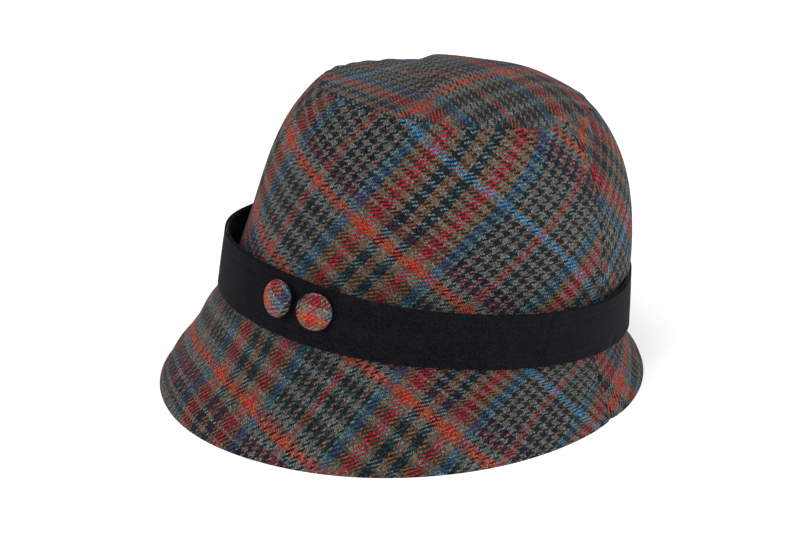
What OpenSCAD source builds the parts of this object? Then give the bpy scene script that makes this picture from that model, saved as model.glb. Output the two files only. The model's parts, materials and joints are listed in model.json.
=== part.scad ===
// Cloche hat in wool tweed: oval tip, two side panels, a two-piece faced brim, lining, sweatband,
// and a dark wool band that stands off the crown and carries two covered shank buttons.
// +Z is up, the front of the hat faces -Y and the wearer's left is +X.
// The origin is under the middle of the brim's rim, and the rim rests on z = 0.
// Angles round the hat run from the front (0) towards the wearer's left (90).

/* [Crown] */
// Half width of the crown at the brim join, side to side
crown_half_w = 87; // [82:0.5:92]
// Half length of the crown at the brim join, front to back
crown_half_l = 100.5; // [96:0.5:106]
// Height of the crown's sides, square to the brim join
crown_h = 106.5; // [100:0.5:116]
// Share of its radius that the side loses at the rounded shoulder
shoulder = 0.2; // [0.15:0.005:0.2]
// How far the side bulges backwards at mid height
side_bulge = 4; // [0:0.5:8]
// Half width of the tip, side to side
tip_half_w = 52; // [48:0.5:58]
// Half length of the tip, front to back
tip_half_l = 68.5; // [64:0.5:74]
// Slope of the tip against the brim join, front edge up
tip_slope = 1; // [0:0.5:7]
// Rise of the tip's middle above its seam
tip_rise = 8; // [3:0.5:8]

/* [Brim] */
// Half width of the rim, side to side
rim_half_w = 112.5; // [108:0.5:118]
// Half length of the rim, front to back
rim_half_l = 119.5; // [117:0.5:126]
// Height of the middle of the brim join above the rim
join_height = 33; // [30:0.5:38]
// How far the join's middle sits behind the rim's middle
join_back = 13.5; // [10:0.5:14]
// Tilt of the join and the crown, front edge up
hat_tilt = 9; // [6:0.5:11]
// Share of the brim's spread that comes late, as a bell shape
brim_flare = 0.45; // [0.2:0.05:0.6]
// Angle of the side seams from the front
seam_angle = 120; // [112.5:7.5:127.5]

/* [Cloth] */
// Thickness of the tweed
tweed_t = 1.2; // [1:0.1:1.5]
// Thickness of the woven interlining
interlining_t = 0.7; // [0.5:0.1:1]
// Thickness of the lining
lining_t = 0.3; // [0.3:0.1:0.5]
// Height of the sweatband
sweatband_h = 26; // [20:1:32]
// Thickness of the sweatband
sweatband_t = 0.8; // [0.6:0.1:1]

/* [Band] */
// Height of the band
band_h = 27.5; // [26:0.5:30]
// Thickness of the band's outer cloth and of its facing
band_t = 0.9; // [0.8:0.1:1.3]
// Thickness of the stiffener inside the band
stiffener_t = 0.3; // [0.2:0.1:0.5]
// Gap between the crown and the band at the band's lower edge
band_gap = 1; // [0.8:0.1:1.6]
// How far the band's upper edge leans out at the sides
band_puff = 4; // [2:0.5:5]
// How far its upper edge is drawn in behind the buttons
band_hug = 4; // [2:0.5:5]
// Distance of the stitch rows from the band's edges
stitch_inset = 4.5; // [3:0.5:6]

/* [Buttons] */
// Radius of a covered button
button_r = 8.75; // [8:0.25:9.5]
// Height of a button's dome above its rim
button_dome = 4.3; // [3.5:0.1:5]
// Angle of the first button from the front
button_1_angle = 19.5; // [17:0.5:20]
// Angle of the second button from the front
button_2_angle = 32; // [32:0.5:35]
// Height of the buttons' middles on the band, as a share of its height
button_level = 0.62; // [0.5:0.01:0.62]
// How far each button leans away from the other on its shank
button_turn = 8; // [0:1:8]

/* [Hidden] */

// Resolution: one facet every 7.5 degrees round the hat
step_angle = 7.5;
side_rows = 8;
brim_rows = 5;
tip_rows = 8;
bell_power = 2.2;
// Gap left between cloth layers of one panel
ply_gap = 0.1;
join_gap = 0.1;
seam_gap = 0.1;
nudge = 0.01;

// A side layer that reaches this deep starts high enough for its slanting foot to clear the brim
function foot(depth) = 0.4 * depth / crown_h;
// The side stops short of the tip by the tip's own thickness, and its inner layers by theirs
side_top = 1 - 1.3 / crown_h;
inner_top = 1 - 4.2 / crown_h;
side_grid = [for (j = [1:side_rows]) inner_top * j / side_rows];
brim_grid = [for (j = [1:brim_rows - 1]) j / brim_rows];
// The inner layers of the tip are smaller, so that they fit inside the side's layers
tip_inner_edge = 0.045;
lining_inner_edge = 0.063;

// Depths of each layer's inner and outer face below the crown's outer face
interlining_depth = tweed_t + ply_gap;
lining_depth = interlining_depth + interlining_t + ply_gap;
sweatband_depth = lining_depth + lining_t + ply_gap;
// Level widths of the brim's layers, which are wider than the cloth because the brim slants
slant = 1.35;
top_in = slant * tweed_t;
core_in = top_in + slant * ply_gap;
core_end = core_in + slant * interlining_t;
under_in = core_end + slant * ply_gap;
under_end = under_in + slant * tweed_t;
// The inner layers stop just above the surface that the outer one rests on
core_from = 0.03;
under_from = 0.01;
// The band's layers, as heights above its innermost face
stiffener_from = band_t + ply_gap;
outer_from = stiffener_from + stiffener_t + ply_gap;
band_total = outer_from + band_t;
band_lift = 1;
thread_r = 0.3;
stitch_lift = 0.2;
tack_gap = 0.4;
band_join_angle = 97.5;
tack_angles = [40, 127, 215, 300];
tack_v = 0.08;
tack_r = 0.5;

// Button parts, measured outwards from the band's outer face
thread_hole_r = 1.6;
neck_r = 1.25;
knot_r = 2.2;
knot_t = 0.7;
pad_r = 2.1;
pad_from = 0.3;
pad_t = 0.4;
strand_r = 0.5;
arch_r = 1.3;
arch_z = 1.65;
ring_r = 1.5;
wire_r = 0.45;
ring_z = arch_z + arch_r;
rim_z = 2.6;
rim_wall = 0.5;
cover_t = 1.1;
shell_t = 0.5;
back_t = 0.5;
fit_gap = 0.08;
fold_in = 2.6;

// ---- Surfaces: points at an angle a and a share v of the way along ----

// Share of its radius at the join that the side keeps, where end is its share at the tip
function keep(v, end) = 1 - (1 - end - shoulder) * v - shoulder * pow(v, 5);

// Tilts a point about the X axis and sets it on the brim join's middle
function seat(p) = [
    p.x,
    join_back + p.y * cos(hat_tilt) + p.z * sin(hat_tilt),
    join_height - p.y * sin(hat_tilt) + p.z * cos(hat_tilt)
];

// Height of the tip's seam at angle a
function tip_seam_h(a) = crown_h + tip_half_l * cos(a) * tan(tip_slope);

// Crown side, v from the brim join (0) to the tip seam (1)
function side_at(a, v) = seat([
    crown_half_w * keep(v, tip_half_w / crown_half_w) * sin(a),
    -crown_half_l * keep(v, tip_half_l / crown_half_l) * cos(a) + side_bulge * sin(180 * v),
    tip_seam_h(a) * v
]);

// Tip, v from its seam (0) to its middle (1)
function tip_at(a, v) = seat([
    tip_half_w * (1 - v) * sin(a),
    -tip_half_l * (1 - v) * cos(a),
    crown_h + (tip_seam_h(a) - crown_h) * (1 - v) + tip_rise * (1 - pow(1 - v, 2.5))
]);

// Brim, v from the join (0) to the rim (1); its layers lie side by side, so in is a level shift,
// and all of them end at the top just below the tilted plane of the join
function spread(v) = (1 - brim_flare) * v + brim_flare * pow(max(v, 0), bell_power);
function brim_at(a, v, in) =
    let (top = side_at(a, 0), rim = [rim_half_w * sin(a), -rim_half_l * cos(a), 0],
         k = spread(v), out = [sin(a), -cos(a), 0])
    [top.x + (rim.x - top.x) * k, top.y + (rim.y - top.y) * k,
     (top.z - join_gap - in * cos(a) * tan(hat_tilt)) * (1 - v)]
    - in * out;

// Point f(a, v) moved d along the surface's outward normal
function lift(f, a, v, d) =
    let (along = f(a + 1, v) - f(a - 1, v), up = f(a, v + nudge) - f(a, v - nudge),
         n = cross(along, up))
    f(a, v) + d * n / norm(n);

// How far the band's upper edge leans out at angle a: most at the sides, and inwards at the buttons
function off_buttons(a) = (a - (button_1_angle + button_2_angle) / 2 + 180) % 360 - 180;
function hug(a) = abs(off_buttons(a)) < 45 ? pow(cos(2 * off_buttons(a)), 2) : 0;
function lean_out(a) = band_puff * pow(sin(a), 2) - band_hug * hug(a);

// Band: v from its lower edge (0) to its upper edge (1), d outwards from its innermost face
function band_at(a, v, d) =
    let (out = band_gap + d + lean_out(a) * v)
    seat([
        (crown_half_w + out) * sin(a),
        -(crown_half_l + out) * cos(a),
        band_lift + band_h * v
    ]);

// ---- Skins: closed solids between an outer and an inner grid of points ----

// Both split the cell with corners p, q (this row) and r, s (next row) along the diagonal q-r, so
// that stacked layers keep an even gap: cell faces one way and cell_back the other
function cell(p, q, r, s) = [[p, r, q], [q, r, s]];
function cell_back(p, q, r, s) = [[p, q, r], [q, s, r]];

// Shares of the rows from v0 to v1, on the grid that all layers of a surface have
function row_shares(grid, v0, v1) = concat(
    [v0],
    [for (v = grid) if (v > v0 + nudge && v < v1 - nudge) v],
    [v1]
);

// Panel from angle a0 to a1: outer(a, v) and inner(a, v) give the faces' points
module panel(outer, inner, a0, a1, grid, v0 = 0, v1 = 1) {
    shares = row_shares(grid, v0, v1);
    rows = len(shares) - 1;
    cols = round((a1 - a0) / step_angle);
    w = cols + 1;
    half = w * (rows + 1);
    angles = [for (i = [0:cols]) a0 + (a1 - a0) * i / cols];
    points = concat(
        [for (v = shares) for (a = angles) outer(a, v)],
        [for (v = shares) for (a = angles) inner(a, v)]
    );
    faces = [
        for (j = [0:rows - 1]) for (i = [0:cols - 1])
            let (p = j * w + i)
            each concat(
                cell(p, p + 1, p + w, p + w + 1),
                cell_back(half + p, half + p + 1, half + p + w, half + p + w + 1)
            ),
        for (i = [0:cols - 1])
            each concat(
                cell(half + i, half + i + 1, i, i + 1),
                cell(rows * w + i, rows * w + i + 1, half + rows * w + i, half + rows * w + i + 1)
            ),
        for (j = [0:rows - 1])
            each concat(
                cell(half + j * w, j * w, half + (j + 1) * w, (j + 1) * w),
                cell(j * w + cols, half + j * w + cols, (j + 1) * w + cols, half + (j + 1) * w + cols)
            )
    ];
    polyhedron(points, faces);
}

// The same all the way round
module hoop(outer, inner, grid, v0 = 0, v1 = 1) {
    shares = row_shares(grid, v0, v1);
    rows = len(shares) - 1;
    w = round(360 / step_angle);
    half = w * (rows + 1);
    angles = [for (i = [0:w - 1]) step_angle * i];
    points = concat(
        [for (v = shares) for (a = angles) outer(a, v)],
        [for (v = shares) for (a = angles) inner(a, v)]
    );
    faces = [
        for (i = [0:w - 1])
            let (n = (i + 1) % w)
            each concat(
                [for (j = [0:rows - 1]) let (p = j * w) each concat(
                    cell(p + i, p + n, p + w + i, p + w + n),
                    cell_back(half + p + i, half + p + n, half + p + w + i, half + p + w + n)
                )],
                cell(half + i, half + n, i, n),
                cell(rows * w + i, rows * w + n, half + rows * w + i, half + rows * w + n)
            )
    ];
    polyhedron(points, faces);
}

// Domed oval that closes at its middle point
module cap(outer, inner, rows, v0 = 0) {
    w = round(360 / step_angle);
    half = w * rows;
    angles = [for (i = [0:w - 1]) step_angle * i];
    shares = [for (j = [0:rows - 1]) v0 + (1 - v0) * j / rows];
    points = concat(
        [for (v = shares) for (a = angles) outer(a, v)],
        [for (v = shares) for (a = angles) inner(a, v)],
        [outer(0, 1), inner(0, 1)]
    );
    last = half - w;
    faces = [
        for (i = [0:w - 1])
            let (n = (i + 1) % w)
            each concat(
                [for (j = [0:rows - 2]) let (p = j * w) each concat(
                    cell(p + i, p + n, p + w + i, p + w + n),
                    cell_back(half + p + i, half + p + n, half + p + w + i, half + p + w + n)
                )],
                cell(half + i, half + n, i, n),
                [[last + i, 2 * half, last + n], [half + last + n, 2 * half + 1, half + last + i]]
            )
    ];
    polyhedron(points, faces);
}

// Layer of the crown's side between two depths below its outer face
function side_layer(depth) = function (a, v) lift(function (b, w) side_at(b, w), a, v, -depth);
// Layer of the tip, which is level enough to be measured straight down its own axis
function tip_layer(depth) =
    function (a, v) tip_at(a, v) - depth * [0, sin(hat_tilt + tip_slope), cos(hat_tilt + tip_slope)];
// Brim layer, with v from the rim (0) up to the join (1), so that its faces turn outwards
function brim_layer(in) = function (a, v) brim_at(a, 1 - v, in);
function band_layer(d) = function (a, v) band_at(a, v, d);

// ---- Crown, brim and lining ----

module crown_tip() {
    color("darkslategray")
        cap(tip_layer(0), tip_layer(tweed_t), tip_rows);
}

module crown_side(a0, a1) {
    color("darkslategray")
        panel(side_layer(0), side_layer(tweed_t), a0, a1, side_grid, foot(tweed_t), side_top);
}

module crown_side_front() {
    crown_side(-seam_angle, seam_angle);
}

module crown_side_back() {
    crown_side(seam_angle + seam_gap, 360 - seam_angle - seam_gap);
}

module tip_interlining() {
    color("ivory")
        cap(tip_layer(interlining_depth), tip_layer(interlining_depth + interlining_t),
            tip_rows, tip_inner_edge);
}

module side_interlining() {
    color("ivory")
        hoop(side_layer(interlining_depth), side_layer(interlining_depth + interlining_t),
             side_grid, foot(interlining_depth + interlining_t), inner_top);
}

module lining_tip() {
    color("black")
        cap(tip_layer(lining_depth), tip_layer(lining_depth + lining_t),
            tip_rows, lining_inner_edge);
}

module lining_side(a0, a1) {
    color("black")
        panel(side_layer(lining_depth), side_layer(lining_depth + lining_t),
              a0, a1, side_grid, foot(lining_depth + lining_t), inner_top);
}

module lining_side_front() {
    lining_side(-seam_angle, seam_angle);
}

module lining_side_back() {
    lining_side(seam_angle + seam_gap, 360 - seam_angle - seam_gap);
}

module sweatband() {
    color("dimgray")
        hoop(side_layer(sweatband_depth), side_layer(sweatband_depth + sweatband_t),
             side_grid, foot(sweatband_depth + sweatband_t), sweatband_h / crown_h);
}

// Small blank tab behind the sweatband's upper edge, at the middle of the back
module size_label() {
    color("white")
        panel(side_layer(sweatband_depth), side_layer(sweatband_depth + lining_t),
              172.5, 187.5, side_grid, (sweatband_h + 1) / crown_h, (sweatband_h + 16) / crown_h);
}

module brim_top_front() {
    color("darkslategray")
        panel(brim_layer(0), brim_layer(top_in),
              -seam_angle, seam_angle, brim_grid);
}

module brim_top_back() {
    color("darkslategray")
        panel(brim_layer(0), brim_layer(top_in),
              seam_angle + seam_gap, 360 - seam_angle - seam_gap, brim_grid);
}

module brim_under_front() {
    color("darkslategray")
        panel(brim_layer(under_in), brim_layer(under_end),
              -seam_angle, seam_angle, brim_grid, under_from, 1);
}

module brim_under_back() {
    color("darkslategray")
        panel(brim_layer(under_in), brim_layer(under_end),
              seam_angle + seam_gap, 360 - seam_angle - seam_gap, brim_grid, under_from, 1);
}

module brim_interlining() {
    color("ivory")
        hoop(brim_layer(core_in), brim_layer(core_end), brim_grid, core_from, 1);
}

// ---- Band ----

// Turns the Z axis to the band's outward normal at angle a, with Y up the band
module on_band(a) {
    here = band_at(a, button_level, band_total);
    tangent = band_at(a + 1, button_level, band_total) - band_at(a - 1, button_level, band_total);
    rise = band_at(a, button_level + nudge, band_total) - band_at(a, button_level - nudge, band_total);
    z = cross(tangent, rise) / norm(cross(tangent, rise));
    x = tangent / norm(tangent);
    y = cross(z, x);
    multmatrix([
        [x.x, y.x, z.x, here.x],
        [x.y, y.y, z.y, here.y],
        [x.z, y.z, z.z, here.z],
        [0, 0, 0, 1]
    ])
        children();
}

// Band layer pierced where the buttons' threads pass
module band_layer_solid(from, to) {
    difference() {
        hoop(band_layer(to), band_layer(from), [0.5]);
        for (a = [button_1_angle, button_2_angle])
            on_band(a)
                translate([0, 0, -band_total - 1])
                    cylinder(h = band_total + 2, r = thread_hole_r, $fn = 48);
    }
}

module band_outer() {
    color([0.06, 0.06, 0.07])
        band_layer_solid(outer_from, band_total);
}

module band_facing() {
    color([0.06, 0.06, 0.07])
        band_layer_solid(0, band_t);
}

module band_stiffener() {
    color("gray")
        band_layer_solid(stiffener_from, stiffener_from + stiffener_t);
}

// A row of stitches as one thin hoop just proud of the outer cloth
module stitch_row(v) {
    half = thread_r / band_h;
    hoop(function (a, w) band_at(a, w, band_total + stitch_lift + thread_r),
         function (a, w) band_at(a, w, band_total + stitch_lift), [], v - half, v + half);
}

module band_topstitching() {
    color([0.1, 0.1, 0.11]) {
        stitch_row(stitch_inset / band_h);
        stitch_row(1 - stitch_inset / band_h);
    }
}

// Upright row that closes the band into a loop, on the wearer's left
module band_join_stitching() {
    color([0.1, 0.1, 0.11])
        panel(function (a, w) band_at(band_join_angle + (a - band_join_angle) * 0.05, w,
                                      band_total + stitch_lift + thread_r),
              function (a, w) band_at(band_join_angle + (a - band_join_angle) * 0.05, w,
                                      band_total + stitch_lift),
              band_join_angle, band_join_angle + step_angle, [0.5], 0.2, 0.8);
}

// Short thread bars that hold the band's lower edge to the crown
module band_tacks() {
    color([0.1, 0.1, 0.11])
        for (a = tack_angles)
            thread_bar(lift(function (b, w) side_at(b, w), a,
                            (band_lift + band_h * tack_v) / crown_h, tack_gap),
                       band_at(a, tack_v, -tack_gap), tack_r);
}

// Round bar between two points
module thread_bar(from, to, r) {
    d = to - from;
    translate(from)
        rotate([0, acos(d.z / norm(d)), atan2(d.y, d.x)])
            cylinder(h = norm(d), r = r, $fn = 24);
}

// ---- Buttons ----

// Solid dome: a rim wall with a spherical top, used for each layer of a button
module dome(r, z, wall, rise) {
    ball = (r * r + rise * rise) / (2 * rise);
    translate([0, 0, z])
        cylinder(h = wall, r = r, $fn = 96);
    translate([0, 0, z + wall])
        intersection() {
            translate([0, 0, rise - ball])
                sphere(r = ball, $fn = 96);
            cylinder(h = rise + 1, r = r + 1, $fn = 96);
        }
}

// Cloth cover: over the dome, round the rim and a little way in underneath
module button_cover() {
    inner_r = button_r - cover_t;
    color("brown")
        difference() {
            dome(button_r, rim_z, rim_wall + cover_t, button_dome - cover_t);
            dome(inner_r, rim_z + cover_t, rim_wall, button_dome - 2 * cover_t);
            translate([0, 0, rim_z - 1])
                cylinder(h = cover_t + 2, r = inner_r - fold_in, $fn = 96);
        }
}

// Pressed metal shell that the cloth is stretched over
module button_shell() {
    r = button_r - cover_t - fit_gap;
    color("silver")
        difference() {
            dome(r, rim_z + cover_t + fit_gap, rim_wall - fit_gap,
                 button_dome - 2 * cover_t - fit_gap);
            dome(r - shell_t, rim_z + cover_t - 1, rim_wall + 1 - fit_gap,
                 button_dome - 2 * cover_t - shell_t - fit_gap);
        }
}

// Back plate that traps the cloth, with a slot for the shank
module button_back() {
    color("silver")
        translate([0, 0, rim_z + cover_t + fit_gap])
            difference() {
                cylinder(h = back_t, r = button_r - cover_t - shell_t - 8 * fit_gap, $fn = 96);
                translate([-wire_r - 0.1, -ring_r - wire_r - 0.1, -1])
                    cube([2 * wire_r + 0.2, 2 * (ring_r + wire_r) + 0.2, back_t + 2]);
            }
}

// Wire ring that stands on edge through the back plate
module button_shank() {
    color("silver")
        translate([0, 0, ring_z])
            rotate([0, 90, 0])
                rotate_extrude($fn = 64)
                    translate([ring_r, 0])
                        circle(r = wire_r, $fn = 32);
}

// Thread bundle: a knot behind the band, a neck through it, and an arch through the ring
module button_thread() {
    color([0.1, 0.1, 0.11]) {
        translate([0, 0, -band_total - 0.3 - knot_t])
            cylinder(h = knot_t, r = knot_r, $fn = 48);
        translate([0, 0, -band_total - 0.3 - knot_t / 2])
            cylinder(h = band_total + 0.3 + knot_t / 2 + pad_from + pad_t / 2, r = neck_r, $fn = 48);
        translate([0, 0, pad_from])
            cylinder(h = pad_t, r = pad_r, $fn = 48);
        for (side = [-1, 1])
            translate([side * arch_r, 0, pad_from + pad_t / 2])
                cylinder(h = arch_z - pad_from - pad_t / 2, r = strand_r, $fn = 32);
        translate([0, 0, arch_z])
            rotate([90, 0, 0])
                rotate_extrude(angle = 180, $fn = 64)
                    translate([arch_r, 0])
                        circle(r = strand_r, $fn = 32);
    }
}

// A button leans about the middle of its shank ring
module lean(turn) {
    translate([0, 0, ring_z])
        rotate([0, turn, 0])
            translate([0, 0, -ring_z])
                children();
}

module button_1_cover() {
    on_band(button_1_angle)
        lean(-button_turn)
            button_cover();
}

module button_1_shell() {
    on_band(button_1_angle)
        lean(-button_turn)
            button_shell();
}

module button_1_back() {
    on_band(button_1_angle)
        lean(-button_turn)
            button_back();
}

module button_1_shank() {
    on_band(button_1_angle)
        lean(-button_turn)
            button_shank();
}

module button_1_thread() {
    on_band(button_1_angle)
        button_thread();
}

module button_2_cover() {
    on_band(button_2_angle)
        lean(button_turn)
            button_cover();
}

module button_2_shell() {
    on_band(button_2_angle)
        lean(button_turn)
            button_shell();
}

module button_2_back() {
    on_band(button_2_angle)
        lean(button_turn)
            button_back();
}

module button_2_shank() {
    on_band(button_2_angle)
        lean(button_turn)
            button_shank();
}

module button_2_thread() {
    on_band(button_2_angle)
        button_thread();
}

crown_tip();
crown_side_front();
crown_side_back();
tip_interlining();
side_interlining();
brim_top_front();
brim_top_back();
brim_under_front();
brim_under_back();
brim_interlining();
lining_tip();
lining_side_front();
lining_side_back();
sweatband();
size_label();
band_outer();
band_facing();
band_stiffener();
band_topstitching();
band_join_stitching();
band_tacks();
button_1_cover();
button_1_shell();
button_1_back();
button_1_shank();
button_1_thread();
button_2_cover();
button_2_shell();
button_2_back();
button_2_shank();
button_2_thread();
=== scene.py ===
"""Tweed cloche hat: cloth panels, band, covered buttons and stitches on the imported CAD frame."""
import json
import math

import bpy
import numpy as np
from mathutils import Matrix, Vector


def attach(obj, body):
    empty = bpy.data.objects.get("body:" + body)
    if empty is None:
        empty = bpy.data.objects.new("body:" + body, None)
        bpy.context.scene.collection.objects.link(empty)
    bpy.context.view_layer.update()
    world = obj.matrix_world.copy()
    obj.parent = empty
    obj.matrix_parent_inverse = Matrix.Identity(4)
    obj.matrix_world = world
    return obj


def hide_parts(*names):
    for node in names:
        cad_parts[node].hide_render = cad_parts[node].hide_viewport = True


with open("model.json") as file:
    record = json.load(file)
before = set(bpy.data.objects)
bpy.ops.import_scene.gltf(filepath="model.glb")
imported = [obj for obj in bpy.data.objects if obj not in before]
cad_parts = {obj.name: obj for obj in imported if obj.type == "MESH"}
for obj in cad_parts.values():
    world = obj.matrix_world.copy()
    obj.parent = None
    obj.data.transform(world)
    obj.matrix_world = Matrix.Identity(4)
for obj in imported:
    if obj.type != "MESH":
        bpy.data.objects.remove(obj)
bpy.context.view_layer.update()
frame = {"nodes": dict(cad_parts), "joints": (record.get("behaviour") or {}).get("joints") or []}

MM = 0.001

# Driving dimensions of the CAD model, in millimetres and degrees
HALF_W, HALF_L, HEIGHT = 87.0, 100.5, 106.5
SHOULDER, BULGE = 0.2, 4.0
TIP_W, TIP_L, TIP_SLOPE, TIP_RISE = 52.0, 68.5, 1.0, 8.0
RIM_W, RIM_L = 112.5, 119.5
JOIN_H, JOIN_BACK, TILT = 33.0, 13.5, 9.0
FLARE, BELL = 0.45, 2.2
SEAM = 120.0
SEAMS = (SEAM, -SEAM)
TWEED, CANVAS, LINING, RIBBON = 1.2, 0.7, 0.3, 0.8
RIBBON_H = 26.0
BAND_H, BAND_T, STIFF_T = 27.5, 0.9, 0.3
BAND_GAP, PUFF, HUG, INSET = 1.0, 4.0, 4.0, 4.5
BUTTON_ANGLES = (19.5, 32.0)
BAND_JOIN = 97.5
TACKS = (40.0, 127.0, 215.0, 300.0)
GAP = 0.1

# Depths of the layers below the tweed's face, and the band's layers above its inner face
CANVAS_D = TWEED + GAP
LINING_D = CANVAS_D + CANVAS + GAP
RIBBON_D = LINING_D + LINING + GAP
STIFF_D = BAND_T + GAP
OUTER_D = STIFF_D + STIFF_T + GAP
BAND_TOTAL = OUTER_D + BAND_T

# Level distances from the brim's face in to the faces of its layers
BRIM_TWEED_IN = 1.62
BRIM_CANVAS_OUT, BRIM_CANVAS_IN = 1.76, 2.70
BRIM_FACING_OUT, BRIM_FACING_IN = 2.85, 4.45

# Uneven lie of the band, as (angle, depth, width in degrees) of each stretch that leans in at the top
BAND_HOLLOWS = ((150, 4.2, 34), (-90, 2.0, 30), (-60, 5.5, 24))
# Length of the band for one degree round the crown
BAND_PER_DEGREE = 1.72

# Rows of points in a rounded edge, between the two faces
EDGE = 3


# ---- Surfaces: arrays of angles a (degrees) and shares v give points in millimetres ----

def sin(a):
    return np.sin(np.radians(a))


def cos(a):
    return np.cos(np.radians(a))


def bump_at(x, centre, width):
    """Smooth hill of height 1 round centre."""
    return np.exp(-((x - centre) / width) ** 2)


def turn_to(a, centre):
    """Angle from centre to a, from -180 to 180."""
    return (a - centre + 180) % 360 - 180


def keep(v, end):
    """Share of the join's half width or length left at height v, down to the share end at the top."""
    return 1 - (1 - end - SHOULDER) * v - SHOULDER * v ** 5


def seat(x, y, z):
    """Points of the upright crown, tilted back and set at the height of the join."""
    return np.stack([x, JOIN_BACK + y * cos(TILT) + z * sin(TILT),
                     JOIN_H - y * sin(TILT) + z * cos(TILT)], -1)


def seam_height(a):
    """Height of the tip's seam above the join."""
    return HEIGHT + TIP_L * cos(a) * math.tan(math.radians(TIP_SLOPE))


def side_base(a, v):
    """Crown's side as blocked, v from the join (0) to the tip's seam (1)."""
    return seat(HALF_W * keep(v, TIP_W / HALF_W) * sin(a),
                -HALF_L * keep(v, TIP_L / HALF_L) * cos(a) + BULGE * np.sin(np.pi * v),
                seam_height(a) * v)


def normals(f, a, v):
    """Outward unit vectors of the surface f."""
    along = f(a + 0.5, v) - f(a - 0.5, v)
    up = f(a, v + 0.004) - f(a, v - 0.004)
    n = np.cross(along, up)
    return n / np.linalg.norm(n, axis=-1, keepdims=True)


def lift(f, a, v, d):
    """Surface f moved outwards by d."""
    return f(a, v) + np.asarray(d)[..., None] * normals(f, a, v)


def slack(a, v):
    """Uneven lie of the soft side cloth, in millimetres: shallow hollows and puckers by the seams."""
    soft = 0.5 * sin(3 * a + 40) * np.sin(2.2 * v * np.pi) + 0.3 * sin(7 * a + 160 * v)
    soft += 0.2 * sin(11 * a - 260 * v + 70)
    near_tip = bump_at(v, 1.0, 0.12) * (0.22 * sin(34 * a) + 0.15 * sin(53 * a + 30))
    near_seam = 0
    for seam in SEAMS:
        t = turn_to(a, seam)
        near_seam = near_seam + 0.25 * bump_at(t, 0, 5) * np.sin(38 * v + 1) - 0.5 * bump_at(t, 0, 9)
    return (soft + near_tip + near_seam) * np.clip(v * 5, 0, 1) * np.clip((1.02 - v) * 9, 0.25, 1)


def side(a, v):
    """Crown's side as it lies, with the cloth's slack."""
    a, v = np.broadcast_arrays(np.asarray(a, float), np.asarray(v, float))
    return lift(side_base, a, v, slack(a, v))


def tip(a, v):
    """Tip, v from its seam (0) to its middle (1): soft in front, a shallow crease, fuller behind."""
    a, v = np.broadcast_arrays(np.asarray(a, float), np.asarray(v, float))
    x = TIP_W * (1 - v) * sin(a)
    y = -TIP_L * (1 - v) * cos(a)
    z = HEIGHT + (seam_height(a) - HEIGHT) * (1 - v) + TIP_RISE * (1 - (1 - v) ** 2.5)
    inside = 1 - (1 - v) ** 4
    along = 0.48 * x + 0.88 * y
    step = np.clip((along + 21) / 11, 0, 1)
    full = bump_at(y, 12, 30) * bump_at(x, 6, 34)
    swell = 1.6 * full + 3.2 * step ** 2 * (3 - 2 * step) + 1.6 * bump_at(along, 42, 18)
    hollow = 3.0 * bump_at(along, -42, 22) + 0.9 * bump_at(along, -20, 5)
    z = z + inside * (swell - hollow + 0.3 * np.sin(x / 7 + y / 11))
    z = z + (1 - v) ** 12 * (0.25 * sin(34 * a) + 0.2 * sin(21 * a + 50))
    return seat(x, y, z)


def brim(a, v, inward=0.0):
    """Brim, v from the join (0) to the rim (1), with a soft turned-down lip."""
    a, v = np.broadcast_arrays(np.asarray(a, float), np.asarray(v, float))
    top = side_base(a, 0 * v)
    v_in = np.clip(v, 0, None)
    k = (1 - FLARE) * v_in + FLARE * v_in ** BELL + 0.12 * bump_at(v, 0.84, 0.13) * (1 - v_in ** 8)
    wave = 0.8 * sin(3 * a + 20) + 0.5 * sin(5 * a + 100) + 0.25 * sin(9 * a)
    wave = wave * v_in ** 2 * (1.15 - v_in) * 2.2
    for seam in SEAMS:
        wave = wave - 1.1 * bump_at(turn_to(a, seam), 0, 4.5) * bump_at(v, 0.8, 0.35)
    wave = wave + 2.6 * bump_at(turn_to(a, 58), 0, 60) * v_in ** 2
    fuller = 4.6 * bump_at(v, 0.32, 0.24) + 2.2 * bump_at(v, 0.62, 0.14) - 2.2 * bump_at(v, 0.93, 0.14)
    wave = wave + bump_at(turn_to(a, -45), 0, 36) * fuller * np.clip(v * 12, 0, 1)
    rim_x, rim_y = RIM_W * sin(a), -RIM_L * cos(a)
    fall = 1 - v
    z = (top[..., 2] - GAP - inward * cos(a) * math.tan(math.radians(TILT))) * fall
    return np.stack([top[..., 0] + (rim_x - top[..., 0]) * k + (wave - inward) * sin(a),
                     top[..., 1] + (rim_y - top[..., 1]) * k - (wave - inward) * cos(a), z], -1)


def band(a, v, d):
    """Band, v from its lower edge (0) to its upper edge (1), d outwards from its inner face."""
    a, v = np.broadcast_arrays(np.asarray(a, float), np.asarray(v, float))
    off = turn_to(a, sum(BUTTON_ANGLES) / 2)
    hug = np.where(np.abs(off) < 45, cos(2 * off) ** 2, 0)
    out = BAND_GAP + d + (PUFF * sin(a) ** 2 - HUG * hug) * v
    out = out - sum(depth * bump_at(turn_to(a, at), 0, width) for at, depth, width in BAND_HOLLOWS) * v
    out = out + 0.35 * v * (1 - v) * 4 * (0.6 + 0.4 * sin(4 * a + 30))
    out = out + 0.3 * v * sin(9 * a + 40) + 0.15 * sin(17 * a) * (v - 0.5)
    for tack in TACKS:
        out = out - 0.5 * bump_at(turn_to(a, tack), 0, 2.2) * bump_at(v, 0.06, 0.16)
    return seat((HALF_W + out) * sin(a), -(HALF_L + out) * cos(a), 1 + BAND_H * v + 0.3 * sin(5 * a + 60))


# ---- Cloth coordinates, in millimetres: x counts the upright yarns and y the level ones ----

def turned(x, y, angle, at):
    """Flat points turned by an angle and moved by at."""
    return np.stack([x * math.cos(angle) - y * math.sin(angle) + at[0],
                     x * math.sin(angle) + y * math.cos(angle) + at[1]], -1)


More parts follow.
